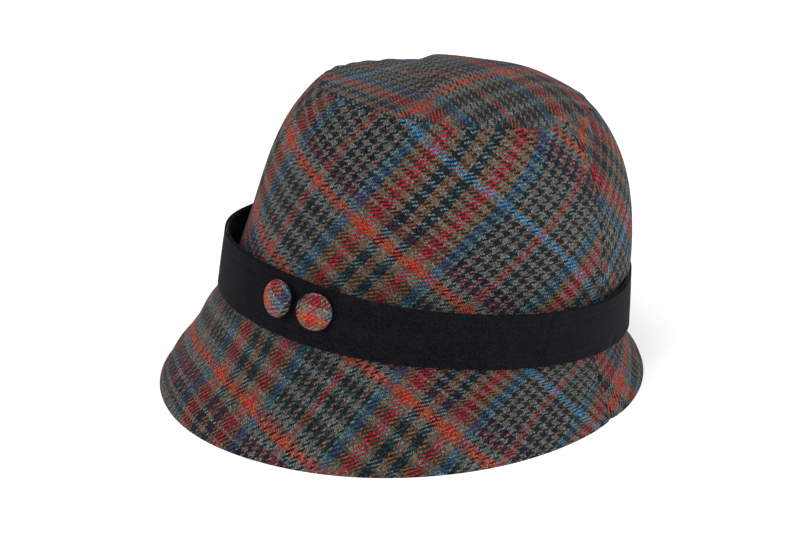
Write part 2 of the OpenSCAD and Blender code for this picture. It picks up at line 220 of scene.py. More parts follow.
def cone_cloth(angle, at, middle=0.0, cone=0.25, radius=94.0, length=112.0):
    """Cloth laid flat from a cone: a sector whose grain is square to the middle of the panel."""
    def at_point(a, v):
        r = radius / cone - length * v
        w = np.radians(turn_to(a, middle)) * cone
        return turned(r * np.sin(w), radius / cone - r * np.cos(w), angle, at)
    return at_point


def flat_cloth(angle, at):
    """Cloth over the tip, laid straight on."""
    def at_point(a, v):
        return turned(TIP_W * (1 - v) * sin(a), -TIP_L * (1 - v) * cos(a), angle, at)
    return at_point


# ---- Meshes ----

def make_mesh(name, points, faces, uv=None, material=None):
    """Smooth mesh object from points in millimetres, with cloth coordinates where uv is given."""
    mesh = bpy.data.meshes.new(name)
    mesh.from_pydata((np.asarray(points) * MM).tolist(), [], faces)
    mesh.validate()
    if uv is not None:
        layer = mesh.uv_layers.new(name="cloth")
        index = np.empty(len(mesh.loops), np.int32)
        mesh.loops.foreach_get("vertex_index", index)
        layer.data.foreach_set("uv", np.asarray(uv, np.float32)[index].ravel())
    mesh.polygons.foreach_set("use_smooth", [True] * len(mesh.polygons))
    if material is not None:
        mesh.materials.append(material)
    made = bpy.data.objects.new(name, mesh)
    bpy.context.scene.collection.objects.link(made)
    return made


def edge_arc(first, last, inside):
    """Rows of a rounded edge from one face's last row to the other's, away from the row inside them."""
    middle, half = (first + last) / 2, (first - last) / 2
    out = middle - inside
    size = np.linalg.norm(half, axis=-1, keepdims=True)
    out = out / np.maximum(np.linalg.norm(out, axis=-1, keepdims=True), 1e-9) * size
    return [middle + half * math.cos(t) + out * math.sin(t)
            for t in np.linspace(0, math.pi, EDGE + 2)[1:-1]]


def end_faces(i, face_rows, count, width, flip):
    """Faces that close column i of a panel that doesn't run all the way round."""
    faces = []
    for j in range(face_rows - 1):
        far = count - EDGE - 1 - j
        faces.append((j * width + i, (j + 1) * width + i, (far - 1) * width + i, far * width + i))
    for ring in (range(face_rows - 1, face_rows + EDGE + 1), [*range(count - EDGE - 1, count), 0]):
        faces.append(tuple(j * width + i for j in ring))
    return [face[::-1] for face in faces] if flip else faces


def shell(name, outer, inner, cloth, angles, shares, material, loop=False):
    """Closed double skin with rounded edges between two faces given as functions of (a, v)."""
    a, v = np.meshgrid(angles, shares)
    top, under, uv = outer(a, v), inner(a, v), cloth(a, v)
    rows = list(top) + edge_arc(top[-1], under[-1], (top[-2] + under[-2]) / 2)
    rows += list(under[::-1]) + edge_arc(under[0], top[0], (top[1] + under[1]) / 2)
    uv_rows = list(uv) + [uv[-1]] * EDGE + list(uv[::-1]) + [uv[0]] * EDGE
    count, width = len(rows), len(angles)
    faces = []
    for j in range(count):
        k = (j + 1) % count
        for i in range(width if loop else width - 1):
            m = (i + 1) % width
            faces.append((j * width + i, j * width + m, k * width + m, k * width + i))
    if not loop:
        faces += end_faces(0, len(shares), count, width, False)
        faces += end_faces(width - 1, len(shares), count, width, True)
    return make_mesh(name, np.concatenate(rows), faces, np.concatenate(uv_rows), material)


def dome(name, outer, inner, cloth, angles, shares, material):
    """Closed oval skin: rings from the edge in to a middle point on both faces."""
    a, v = np.meshgrid(angles, shares)
    top, under, uv = outer(a, v), inner(a, v), cloth(a, v)
    rows = list(under[::-1]) + edge_arc(under[0], top[0], (top[1] + under[1]) / 2) + list(top)
    uv_rows = list(uv[::-1]) + [uv[0]] * EDGE + list(uv)
    count, width = len(rows), len(angles)
    ends = [inner(0.0, 1.0).reshape(1, 3), outer(0.0, 1.0).reshape(1, 3)]
    points = np.concatenate(rows + ends)
    end_uv = cloth(np.float64(0), np.float64(1)).reshape(1, 2)
    faces = []
    for j in range(count - 1):
        for i in range(width):
            m = (i + 1) % width
            faces.append((j * width + i, j * width + m, (j + 1) * width + m, (j + 1) * width + i))
    for i in range(width):
        m = (i + 1) % width
        faces.append((count * width, m, i))
        faces.append((count * width + 1, (count - 1) * width + i, (count - 1) * width + m))
    return make_mesh(name, points, faces, np.concatenate(uv_rows + [end_uv, end_uv]), material)


def groove(a, v, width=1.6, depth=0.75, radius=90.0):
    """How far the tweed's face turns in beside a seam, where a panel's edge is sewn."""
    sink = 0 * a * v
    for seam in SEAMS:
        off = np.radians(turn_to(a, seam)) * radius
        sink = np.maximum(sink, depth * np.exp(-(off / width) ** 2))
    return sink


def fine_to_edges(a0, a1, step, close=(0.15, 0.5, 1.0, 1.6, 2.4)):
    """Angles from a0 to a1 that crowd together at both ends."""
    middle = np.linspace(a0 + close[-1] + step, a1 - close[-1] - step,
                         max(2, int(round((a1 - a0) / step)) - 4))
    return np.concatenate([[a0], a0 + np.array(close), middle, a1 - np.array(close)[::-1], [a1]])


# ---- Materials ----

class Nodes:
    """Short hand for building one material's node tree."""

    def __init__(self, name):
        self.material = bpy.data.materials.new(name)
        self.material.use_nodes = True
        self.tree = self.material.node_tree
        self.shader = self.tree.nodes["Principled BSDF"]

    def put(self, socket, value):
        """Link a socket to a node's output, or give it a constant."""
        if isinstance(value, bpy.types.NodeSocket):
            self.tree.links.new(value, socket)
        elif value is not None:
            socket.default_value = value

    def math(self, operation, a, b=None, c=None):
        node = self.tree.nodes.new("ShaderNodeMath")
        node.operation = operation
        for socket, value in zip(node.inputs, (a, b, c)):
            self.put(socket, value)
        return node.outputs[0]

    def vector(self, x, y, z=0.0):
        node = self.tree.nodes.new("ShaderNodeCombineXYZ")
        for socket, value in zip(node.inputs, (x, y, z)):
            self.put(socket, value)
        return node.outputs[0]

    def noise(self, vector, scale=1.0, detail=2.0, roughness=0.5):
        node = self.tree.nodes.new("ShaderNodeTexNoise")
        self.put(node.inputs["Vector"], vector)
        node.inputs["Scale"].default_value = scale
        node.inputs["Detail"].default_value = detail
        node.inputs["Roughness"].default_value = roughness
        return node.outputs["Fac"]

    def white(self, vector):
        node = self.tree.nodes.new("ShaderNodeTexWhiteNoise")
        node.noise_dimensions = "3D"
        self.put(node.inputs["Vector"], vector)
        return node.outputs["Value"]

    def ramp(self, factor, stops, constant=False):
        node = self.tree.nodes.new("ShaderNodeValToRGB")
        node.color_ramp.interpolation = "CONSTANT" if constant else "LINEAR"
        elements = node.color_ramp.elements
        while len(elements) > 1:
            elements.remove(elements[-1])
        elements[0].position, elements[0].color = stops[0][0], (*stops[0][1], 1)
        for position, colour in stops[1:]:
            elements.new(position).color = (*colour, 1)
        self.put(node.inputs["Fac"], factor)
        return node.outputs["Color"]

    def mix(self, factor, a, b):
        node = self.tree.nodes.new("ShaderNodeMix")
        node.data_type = "RGBA"
        self.put(node.inputs[0], factor)
        self.put(node.inputs[6], a)
        self.put(node.inputs[7], b)
        return node.outputs[2]

    def scaled(self, colour, amount):
        """Colour times a number."""
        node = self.tree.nodes.new("ShaderNodeVectorMath")
        node.operation = "SCALE"
        self.put(node.inputs[0], colour)
        self.put(node.inputs["Scale"], amount)
        return node.outputs[0]

    def to_range(self, value, low, high, new_low, new_high):
        node = self.tree.nodes.new("ShaderNodeMapRange")
        for socket, v in zip(node.inputs, (value, low, high, new_low, new_high)):
            self.put(socket, v)
        return node.outputs[0]

    def uv(self):
        """Cloth coordinates, in millimetres."""
        node = self.tree.nodes.new("ShaderNodeUVMap")
        node.uv_map = "cloth"
        split = self.tree.nodes.new("ShaderNodeSeparateXYZ")
        self.put(split.inputs[0], node.outputs[0])
        return split.outputs[0], split.outputs[1]

    def place(self):
        """Place on the object, in metres, as a vector and as its three parts."""
        node = self.tree.nodes.new("ShaderNodeTexCoord")
        split = self.tree.nodes.new("ShaderNodeSeparateXYZ")
        self.put(split.inputs[0], node.outputs["Object"])
        return node.outputs["Object"], split.outputs

    def finish(self, colour, roughness, height=None, depth=0.0002, strength=0.6, **constants):
        self.put(self.shader.inputs["Base Color"], colour)
        self.put(self.shader.inputs["Roughness"], roughness)
        if height is not None:
            node = self.tree.nodes.new("ShaderNodeBump")
            node.inputs["Strength"].default_value = strength
            node.inputs["Distance"].default_value = depth
            self.put(node.inputs["Height"], height)
            self.put(self.shader.inputs["Normal"], node.outputs[0])
        for name, value in constants.items():
            self.shader.inputs[name.replace("_", " ")].default_value = value
        return self.material


# Yarn colours
NAVY = (0.010, 0.009, 0.035)
PLUM = (0.090, 0.028, 0.050)
BOTTLE = (0.005, 0.034, 0.030)
TEAL = (0.040, 0.110, 0.105)
GREY = (0.170, 0.262, 0.250)
TAN = (0.360, 0.125, 0.048)
ROSE = (0.330, 0.165, 0.120)
RED = (0.720, 0.012, 0.024)
ORANGE = (0.800, 0.105, 0.045)
SLATE = (0.045, 0.100, 0.240)
SKY = (0.060, 0.400, 0.750)

# The weaver's draft: how many yarns of each colour, from a stripe's middle out to the next middle
UPRIGHT_PITCH, LEVEL_PITCH = 0.5625, 0.70
UPRIGHT = [(4, TAN), (8, NAVY), (8, TAN), (8, RED), (8, TAN), (8, SLATE), (2, GREY), (4, NAVY),
           (4, ROSE), (4, NAVY), (4, ROSE), (4, NAVY), (4, ROSE), (4, NAVY), (4, ROSE), (2, RED)]
LEVEL = [(3, BOTTLE), (3, TEAL), (4, GREY), (2, TEAL), (6, BOTTLE), (2, TEAL), (6, GREY), (2, ROSE),
         (6, ORANGE), (6, GREY), (7, PLUM), (2, GREY), (5, NAVY), (4, GREY), (4, BOTTLE), (4, GREY),
         (4, BOTTLE), (4, GREY), (4, BOTTLE), (4, GREY), (4, BOTTLE), (4, GREY), (4, BOTTLE),
         (2, GREY), (2, SKY)]
# Where the middle of the red pair and of the orange pair lie on the cloth
UPRIGHT_AT, LEVEL_AT = 47.0, 57.9


def draft(nodes, index, pitch, at, yarns):
    """Colour of the yarn with this index, from a draft that is mirrored at both its ends."""
    total = sum(n for n, _ in yarns)
    place = nodes.math("MULTIPLY_ADD", nodes.math("ADD", index, 0.5), pitch, -at)
    share = nodes.math("DIVIDE", nodes.math("PINGPONG", place, total * pitch), total * pitch)
    stops, at_yarn = [], 0
    for n, colour in yarns:
        stops.append((at_yarn / total, colour))
        at_yarn += n
    return nodes.ramp(share, stops, constant=True)


def tweed(name, gain=1.0):
    """Two-and-two twill woven yarn by yarn from the draft."""
    m = Nodes(name)
    x, y = m.uv()
    # The cloth lies a little out of square, and each yarn wanders between its neighbours
    for scale, reach in ((0.09, 1.6), (1.1, 0.75)):
        push = m.math("MULTIPLY_ADD", m.noise(m.vector(x, y), scale, 1.0), reach, -reach / 2)
        shove = m.math("MULTIPLY_ADD", m.noise(m.vector(y, x, 7.0), scale, 1.0), reach, -reach / 2)
        x, y = m.math("ADD", x, push), m.math("ADD", y, shove)
    ux, uy = m.math("DIVIDE", x, UPRIGHT_PITCH), m.math("DIVIDE", y, LEVEL_PITCH)
    i, j = m.math("FLOOR", ux), m.math("FLOOR", uy)
    fx, fy = m.math("SUBTRACT", ux, i), m.math("SUBTRACT", uy, j)
    step = m.math("FLOORED_MODULO", m.math("SUBTRACT", i, j), 4.0)
    upright_over = m.math("LESS_THAN", step, 1.5)
    along_up = m.math("DIVIDE", m.math("ADD", m.math("SUBTRACT", 1.0, step), fy), 2.0)
    along_level = m.math("DIVIDE", m.math("ADD", m.math("SUBTRACT", step, 2.0), fx), 2.0)

    def hump(f):
        return m.math("MULTIPLY", m.math("MULTIPLY", f, 4.0), m.math("SUBTRACT", 1.0, f))

    def float_height(across, along):
        return m.math("MULTIPLY", hump(across), m.math("MULTIPLY_ADD", hump(along), 0.5, 0.5))

    up, level = float_height(fx, along_up), float_height(fy, along_level)
    height = m.math("MULTIPLY_ADD", m.math("SUBTRACT", up, level), upright_over, level)
    colour = m.mix(upright_over, draft(m, j, LEVEL_PITCH, LEVEL_AT, LEVEL),
                   draft(m, i, UPRIGHT_PITCH, UPRIGHT_AT, UPRIGHT))
    # Each float is a little lighter or darker, and the yarn is a heather of paler and darker fibres
    tone = m.white(m.vector(i, j, upright_over))
    fibres = m.noise(m.vector(m.math("MULTIPLY", x, 1.7), m.math("MULTIPLY", y, 1.7), tone), 2.2, 3.0, 0.65)
    fluff = m.noise(m.vector(y, x, 5.0), 1.5, 2.0, 0.6)
    light = m.math("MULTIPLY_ADD", tone, 0.80, 0.60)
    light = m.math("MULTIPLY", light, m.to_range(fibres, 0.32, 0.68, 0.40, 1.65))
    light = m.math("MULTIPLY", light, m.to_range(fluff, 0.36, 0.64, 0.42, 1.75))
    # Painted shade in the hollows between the floats and painted light on their tops, taken from the weave's
    # height
    light = m.math("MULTIPLY", light, m.math("MULTIPLY_ADD", height, 1.25, 0.2))
    wear = m.noise(m.vector(x, y, 11.0), 0.035, 2.0)
    light = m.math("MULTIPLY", light, m.math("MULTIPLY_ADD", wear, 0.3 * gain, 0.85 * gain))
    colour = m.scaled(colour, light)
    # Loose hairs of undyed and pale blue wool lie over the yarns
    lie = m.vector(m.math("MULTIPLY_ADD", y, 0.5, x), m.math("MULTIPLY", m.math("SUBTRACT", y, x), 2.6))
    hair = m.math("ABSOLUTE", m.math("SUBTRACT", m.noise(lie, 1.3, 2.0, 0.6), 0.5))
    hair = m.math("MULTIPLY", m.to_range(hair, 0.0, 0.022, 0.5, 0.0), m.to_range(fluff, 0.47, 0.62, 0.0, 1.0))
    colour = m.mix(hair, colour, (0.17, 0.20, 0.22, 1))
    return m.finish(colour, m.to_range(fibres, 0.3, 0.7, 0.78, 0.95), height,
                    depth=0.0003, strength=0.7, Sheen_Weight=0.03, Sheen_Roughness=0.5,
                    Specular_IOR_Level=0.08)


def woven(name, dark, pale, pitch, sheen=0.2, roughness=(0.75, 0.92), fleck=0.0, strength=0.5, specular=0.3):
    """Plain weave in one colour, with uneven yarns and optional pale flecks."""
    m = Nodes(name)
    x, y = m.uv()
    ux, uy = m.math("DIVIDE", x, pitch), m.math("DIVIDE", y, pitch)
    i, j = m.math("FLOOR", ux), m.math("FLOOR", uy)
    over = m.math("FLOORED_MODULO", m.math("ADD", i, j), 2.0)
    wave_x = m.math("ABSOLUTE", m.math("SINE", m.math("MULTIPLY", ux, math.pi)))
    wave_y = m.math("ABSOLUTE", m.math("SINE", m.math("MULTIPLY", uy, math.pi)))
    height = m.math("MULTIPLY_ADD", m.math("SUBTRACT", wave_x, wave_y), over, wave_y)
    tone = m.white(m.vector(i, j, over))
    cloud = m.noise(m.vector(x, y), 0.12, 3.0)
    fibre = m.noise(m.vector(x, y, 5.0), 3.0, 3.0, 0.7)
    share = m.math("ADD", m.math("MULTIPLY", tone, 0.35), m.math("MULTIPLY", cloud, 0.35))
    share = m.math("ADD", share, m.math("MULTIPLY", fibre, 0.35))
    colour = m.ramp(share, [(0.25, dark), (0.8, pale)])
    if fleck:
        spot = m.math("GREATER_THAN", m.noise(m.vector(y, x, 9.0), 1.4, 2.0, 0.8), 0.72)
        colour = m.mix(m.math("MULTIPLY", spot, fleck), colour, (0.25, 0.25, 0.26, 1))
    return m.finish(colour, m.to_range(fibre, 0.3, 0.7, *roughness), height, depth=0.00012,
                    strength=strength, Sheen_Weight=sheen, Sheen_Roughness=0.45,
                    Specular_IOR_Level=specular)


def ribbed(name, dark, pale, pitch=0.9):
    """Grosgrain: ribs across the ribbon."""
    m = Nodes(name)
    x, y = m.uv()
    rib = m.math("ABSOLUTE", m.math("SINE", m.math("MULTIPLY", x, math.pi / pitch)))
    fibre = m.noise(m.vector(m.math("MULTIPLY", x, 3.0), y, 2.0), 2.0, 3.0)
    # Painted shade in the grooves between the ribs, painted light on the rib tops
    colour = m.ramp(m.math("MULTIPLY", fibre, rib), [(0.1, dark), (0.7, pale)])
    return m.finish(colour, m.to_range(fibre, 0.3, 0.7, 0.45, 0.7), rib, depth=0.0003,
                    strength=0.7, Sheen_Weight=0.15, Specular_IOR_Level=0.45)


def thread(name, dark, pale):
    """Plied sewing thread, or the bundle through a button: slanting waves, 0.7 mm apart along each axis."""
    m = Nodes(name)
    place, axes = m.place()
    slant = m.math("ADD", m.math("ADD", axes[0], axes[1]), axes[2])
    wave = m.math("SINE", m.math("MULTIPLY", slant, 9000.0))
    fibre = m.noise(place, 2600.0, 2.0)
    # Painted shade in the grooves between the plies and painted light on their crests
    colour = m.ramp(m.math("MULTIPLY_ADD", wave, 0.25, fibre), [(0.2, dark), (0.9, pale)])
    return m.finish(colour, m.to_range(fibre, 0.3, 0.7, 0.45, 0.7), wave, depth=0.00006,
                    strength=0.6, Specular_IOR_Level=0.12)


def steel(name):
    """Pressed and drawn metal with a faint haze."""
    m = Nodes(name)
    place, _ = m.place()
    haze = m.noise(place, 900.0, 4.0)
    colour = m.ramp(haze, [(0.3, (0.42, 0.42, 0.43)), (0.7, (0.68, 0.68, 0.69))])
    return m.finish(colour, m.to_range(haze, 0.3, 0.7, 0.25, 0.45), haze, depth=0.00003,
                    strength=0.4, Metallic=1.0)


MAT = {
    "tweed": tweed("tweed", 0.27),
    # Same tweed as the crown, painted lighter on the buttons: painted light on the domes
    "button_tweed_painted_lighter": tweed("button_tweed_painted_lighter", 0.40),
    "band_wool": woven("band_wool", (0.001, 0.001, 0.0014), (0.007, 0.007, 0.0095), pitch=0.7, sheen=0.02,
                       roughness=(0.8, 0.95), fleck=0.05, strength=0.35, specular=0.04),
    "lining": woven("lining", (0.006, 0.006, 0.008), (0.022, 0.022, 0.028), pitch=0.25, sheen=0.1,
                    roughness=(0.3, 0.45), strength=0.2, specular=0.5),
    "grosgrain": ribbed("grosgrain", (0.006, 0.006, 0.007), (0.035, 0.035, 0.04)),
    "canvas": woven("canvas", (0.50, 0.46, 0.36), (0.74, 0.70, 0.60), pitch=0.6),
    "label": woven("label", (0.70, 0.70, 0.66), (0.88, 0.88, 0.85), pitch=0.2, sheen=0.1,
                   roughness=(0.35, 0.5)),
    "stiffener": woven("stiffener", (0.20, 0.20, 0.21), (0.38, 0.38, 0.39), pitch=0.5),
    "dark_thread": thread("dark_thread", (0.002, 0.002, 0.003), (0.012, 0.012, 0.014)),
    "steel": steel("steel"),
}


# ---- The hat's cloth ----

def finished(piece, body="hat", replaces=()):
    """Attach a piece to its body and hide the nodes it stands for."""
    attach(piece, body)
    if replaces:
        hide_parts(*replaces)
    return piece


def layer_of(surface, depth):
    """Surface moved in by depth."""
    return lambda a, v: lift(surface, a, v, -depth + 0 * a)


FRONT = fine_to_edges(-SEAM, SEAM, 1.5)
BACK = fine_to_edges(SEAM + 0.1, 360 - SEAM - 0.1, 1.5)
ROUND = np.arange(0, 360, 1.5)
SIDE_ROWS = np.concatenate([np.linspace(0.006, 0.93, 40), [0.945, 0.957, 0.967, 0.976, 0.984, 0.991]])
BRIM_ROWS = np.concatenate([np.linspace(0, 0.9, 26), np.linspace(0.92, 1.0, 8)])
TIP_ROWS = np.concatenate([[0.0, 0.006, 0.014, 0.024, 0.036, 0.05, 0.07], np.linspace(0.1, 0.97, 30)])

CROWN_CLOTH = cone_cloth(math.radians(20), (6.0, 0.0))
BACK_CLOTH = cone_cloth(math.radians(-29), (49.5, 43.5), middle=180)
BRIM_CLOTH = cone_cloth(math.radians(5), (23.0, 62.0), cone=0.45, length=-50.0)
BRIM_BACK_CLOTH = cone_cloth(math.radians(-3), (63.0, 82.5), middle=180, cone=0.45, length=-40.0)
TIP_CLOTH = flat_cloth(math.radians(69), (75.75, 21.0))


def side_face(a, v):
    """Tweed's outer face, turned in at the upright seams and at the tip's seam."""
    sink = groove(a, v) + 0.2 * bump_at(v, 0.99, 0.012)
    return lift(side, a, v, -sink)


def tip_face(a, v):
    """Tweed's outer face, dipped along its seam."""
    dip = 0.3 * bump_at(v, 0, 0.02)
    return tip(a, v) - dip[..., None] * np.array([0, 0.19, 0.98])


def tip_layer(depth):
    """Tip moved in by depth, square to its seam."""
    step = depth * np.array([0, sin(TILT + TIP_SLOPE), cos(TILT + TIP_SLOPE)])
    return lambda a, v: tip(a, v) - step


def brim_layer(inward):
    """Rows run from the rim up, so that the faces turn outwards."""
    return lambda a, v: brim(a, 1 - v, inward)


def brim_face(a, v):
    """Tweed's outer face, turned in at the seams."""
    return brim(a, 1 - v, groove(a, v, radius=108.0))


def up_cloth(cloth):
    """Cloth for rows that run from the rim up."""
    return lambda a, v: cloth(a, 1 - v)


# Crown: tweed and lining sides, with one canvas between them
for part, angles, cloth, cut, lining_cut in (
        ("front", FRONT, CROWN_CLOTH, (0.375, 0.146, 0.0397), (0.365, 0.140, 0.0370)),
        ("back", BACK, BACK_CLOTH, (0.194, 0.119, 0.0186), (0.190, 0.115, 0.0172))):
    piece = shell(f"crown_{part}_tweed", side_face, layer_of(side, TWEED), cloth, angles, SIDE_ROWS,
                  MAT["tweed"])
    finished(piece, replaces=[f"crown_side_{part}"])
    piece = shell(f"lining_{part}_cloth", layer_of(side, LINING_D), layer_of(side, LINING_D + LINING), cloth,
                  angles[::2], SIDE_ROWS[SIDE_ROWS < 0.96][::2], MAT["lining"])
    finished(piece, replaces=[f"lining_side_{part}"])
piece = shell("crown_canvas", layer_of(side, CANVAS_D), layer_of(side, CANVAS_D + CANVAS), CROWN_CLOTH,
              ROUND, SIDE_ROWS[SIDE_ROWS < 0.96], MAT["canvas"], loop=True)
finished(piece, replaces=["side_interlining"])

# Brim: tweed above and below, with one canvas between them
for part, angles, cloth, cut in (("front", FRONT, BRIM_CLOTH, (0.418, 0.135, 0.0226)),
                                 ("back", BACK, BRIM_BACK_CLOTH, (0.226, 0.062, 0.0050))):
    piece = shell(f"brim_{part}_tweed", brim_face, brim_layer(BRIM_TWEED_IN), up_cloth(cloth), angles,
                  1 - BRIM_ROWS[::-1], MAT["tweed"])
    finished(piece, replaces=[f"brim_top_{part}"])
    piece = shell(f"brim_{part}_facing", brim_layer(BRIM_FACING_OUT), brim_layer(BRIM_FACING_IN),
                  up_cloth(cloth), angles, np.unique(np.clip(1 - BRIM_ROWS, 0.01, 1)), MAT["tweed"])
    finished(piece, replaces=[f"brim_under_{part}"])
piece = shell("brim_canvas", brim_layer(BRIM_CANVAS_OUT), brim_layer(BRIM_CANVAS_IN), up_cloth(BRIM_CLOTH),
              ROUND, np.unique(np.clip(1 - BRIM_ROWS, 0.09, 1)), MAT["canvas"], loop=True)
finished(piece, replaces=["brim_interlining"])

# Tip: tweed, canvas and lining, the inner two starting clear of the sides' layers
piece = dome("tip_tweed", tip_face, tip_layer(TWEED), TIP_CLOTH, ROUND, TIP_ROWS, MAT["tweed"])
finished(piece, replaces=["crown_tip"])
rows = np.concatenate([[0.045], TIP_ROWS[TIP_ROWS > 0.09]])
piece = dome("tip_canvas", tip_layer(CANVAS_D), tip_layer(CANVAS_D + CANVAS), TIP_CLOTH, ROUND, rows,
             MAT["canvas"])
finished(piece, replaces=["tip_interlining"])
rows = np.concatenate([[0.063], TIP_ROWS[TIP_ROWS > 0.09]])
piece = dome("lining_tip_cloth", tip_layer(LINING_D), tip_layer(LINING_D + LINING), TIP_CLOTH, ROUND, rows,
             MAT["lining"])
finished(piece, replaces=["lining_tip"])

# Sweatband round the join, and the tab above it at the back
piece = shell("sweatband_ribbon", layer_of(side, RIBBON_D), layer_of(side, RIBBON_D + RIBBON),
              cone_cloth(0.0, (0.0, 0.0)), ROUND, np.linspace(0.014, RIBBON_H / HEIGHT, 12),
              MAT["grosgrain"], loop=True)
finished(piece, replaces=["sweatband"])
rows = np.linspace((RIBBON_H + 1) / HEIGHT, (RIBBON_H + 16) / HEIGHT, 12)
piece = shell("size_tab", layer_of(side, RIBBON_D), layer_of(side, RIBBON_D + LINING), CROWN_CLOTH,
              np.linspace(172.5, 187.5, 16), rows, MAT["label"])
finished(piece, replaces=["size_label"])


# ---- The band ----

def band_layer(d):
    """Band's surface at one depth."""
    return lambda a, v: band(a, v, d)


def strip_cloth(a, v):
    """Cloth of the band, laid flat as a strip."""
    return np.stack([BAND_PER_DEGREE * np.asarray(a) + 0 * v, BAND_H * v + 0 * a], -1)


BAND_ROUND = np.arange(0, 360, 1.0)
BAND_ROWS = np.concatenate([[0, 0.015, 0.035, 0.06], np.linspace(0.09, 0.91, 20), [0.94, 0.965, 0.985, 1]])


def band_face(a, v):
    """Outer face, dented along both stitch rows and down the closing row, with an overlap step there."""
    rows = bump_at(v * BAND_H, INSET, 0.9) + bump_at(v * BAND_H, BAND_H - INSET, 0.9)
    across = turn_to(a, BAND_JOIN) * BAND_PER_DEGREE
    step = 0.4 * np.clip((across + 2.6) / 0.5, 0, 1) * np.clip((5 - across) / 4, 0, 1)
    return band(a, v, BAND_TOTAL - 0.22 * rows + step - 0.2 * bump_at(across, 0, 0.8))


piece = shell("band_outer_wool", band_face, band_layer(OUTER_D), strip_cloth, BAND_ROUND, BAND_ROWS,
              MAT["band_wool"], loop=True)
finished(piece, replaces=["band_outer"])
piece = shell("band_facing_wool", band_layer(BAND_T), band_layer(0), strip_cloth, BAND_ROUND, BAND_ROWS,
              MAT["band_wool"], loop=True)
finished(piece, replaces=["band_facing"])
piece = shell("band_stiffener_web", band_layer(STIFF_D + STIFF_T), band_layer(STIFF_D), strip_cloth,
              BAND_ROUND, BAND_ROWS[2:-2], MAT["stiffener"], loop=True)
finished(piece, replaces=["band_stiffener"])


def stitches(name, starts, ends, radius, sag, outward, material):
    """One bent capsule of thread for each stitch, with both ends going into the cloth."""
    points, faces = [], []
    sides, along = 8, 7
    for a, b, out in zip(starts, ends, outward):
        line = b - a
        line_n = line / np.linalg.norm(line)
        across = np.cross(out, line_n)
        base = len(points)
        for k in range(along):
            s = k / (along - 1)
            # Thinner at both ends, and bowed outwards between them
            r = radius * (0.35 + 0.65 * math.sin(math.pi * s) ** 0.5)
            centre = a + line * s + out * (sag * (math.sin(math.pi * s) - 0.45))
            for t in range(sides):
                w = 2 * math.pi * t / sides
                points.append(centre + r * (math.cos(w) * out + math.sin(w) * across))
        for k in range(along - 1):
            for t in range(sides):
                n = (t + 1) % sides
                faces.append((base + k * sides + t, base + (k + 1) * sides + t,
                              base + (k + 1) * sides + n, base + k * sides + n))
        faces.append(tuple(base + t for t in range(sides)))
        faces.append(tuple(base + (along - 1) * sides + t for t in reversed(range(sides))))
    return make_mesh(name, points, faces, material=material)


def stitch_line(a, v, on=0.62):
    """Ends and outward directions of stitches from point to point of a and v, each for the share on."""
    p, n = band_face(a, v), normals(band_face, a, v)
    starts = p[:-1]
    ends = p[:-1] + (p[1:] - p[:-1]) * on
    return starts, ends, n[:-1]


# Two rows along the band's edges, the upright row that closes it, and the bars that hold it
a = np.linspace(0, 360, 241)
rows = [stitch_line(a, level + 0.004 * np.sin(a * 0.31)) for level in (INSET / BAND_H, 1 - INSET / BAND_H)]
starts, ends, out = (np.concatenate(parts) for parts in zip(*rows))
piece = stitches("band_topstitches", starts, ends, 0.16, 0.2, out, MAT["dark_thread"])
finished(piece, replaces=["band_topstitching"])
v = np.linspace(0.14, 0.86, 8)
starts, ends, out = stitch_line(BAND_JOIN + 0 * v, v)
piece = stitches("band_join_stitches", starts, ends, 0.2, 0.26, out, MAT["dark_thread"])
finished(piece, replaces=["band_join_stitching"])

tack_from = np.array([lift(side, t, (1 + BAND_H * 0.08) / HEIGHT, 0.3 + 0 * np.float64(t)) for t in TACKS])
tack_to = np.array([band(t, 0.08, -0.1) for t in TACKS])
up = np.tile(np.array([0.0, 0.0, 1.0]), (len(TACKS), 1))
piece = stitches("band_tack_bars", tack_from, tack_to, 0.5, 0.0, up, MAT["dark_thread"])
finished(piece, replaces=["band_tacks"])


# ---- The buttons ----

BUTTON_R, BUTTON_DOME, RIM_Z, COVER_T, RING_Z, LEAN = 8.75, 4.3, 2.6, 1.1, 2.95, 8.0


def cap(radius, base, rise, count):
    """Round cap as (radius, height) points, from its edge to its middle."""
    ball = (radius ** 2 + rise ** 2) / (2 * rise)
    return [(x, base + math.sqrt(max(ball ** 2 - x ** 2, 0)) - ball + rise)
            for x in radius * np.sin(np.linspace(math.pi / 2, 0, count))]


def button_profile():
    """Half section of the cover: the fold underneath, the top, its inside and the turned-in edge."""
    inner = BUTTON_R - COVER_T
    under = [(inner - 2.6, RIM_Z + 0.35), (inner - 2.4, RIM_Z + 0.05), (inner - 1.0, RIM_Z),
             (BUTTON_R - 1.0, RIM_Z), (BUTTON_R - 0.45, RIM_Z + 0.15), (BUTTON_R - 0.12, RIM_Z + 0.5),
             (BUTTON_R, RIM_Z + 1.0)]
    top = cap(BUTTON_R - 0.02, RIM_Z + 1.5, BUTTON_DOME - 0.9, 26)
    inside = cap(inner + 0.02, RIM_Z + COVER_T + 0.5, BUTTON_DOME - 2 * COVER_T + 0.02, 12)[::-1]
    back = [(inner + 0.02, RIM_Z + COVER_T + 0.05), (inner - 2.4, RIM_Z + COVER_T),
            (inner - 2.6, RIM_Z + 0.75)]
    return under, top, inside, back


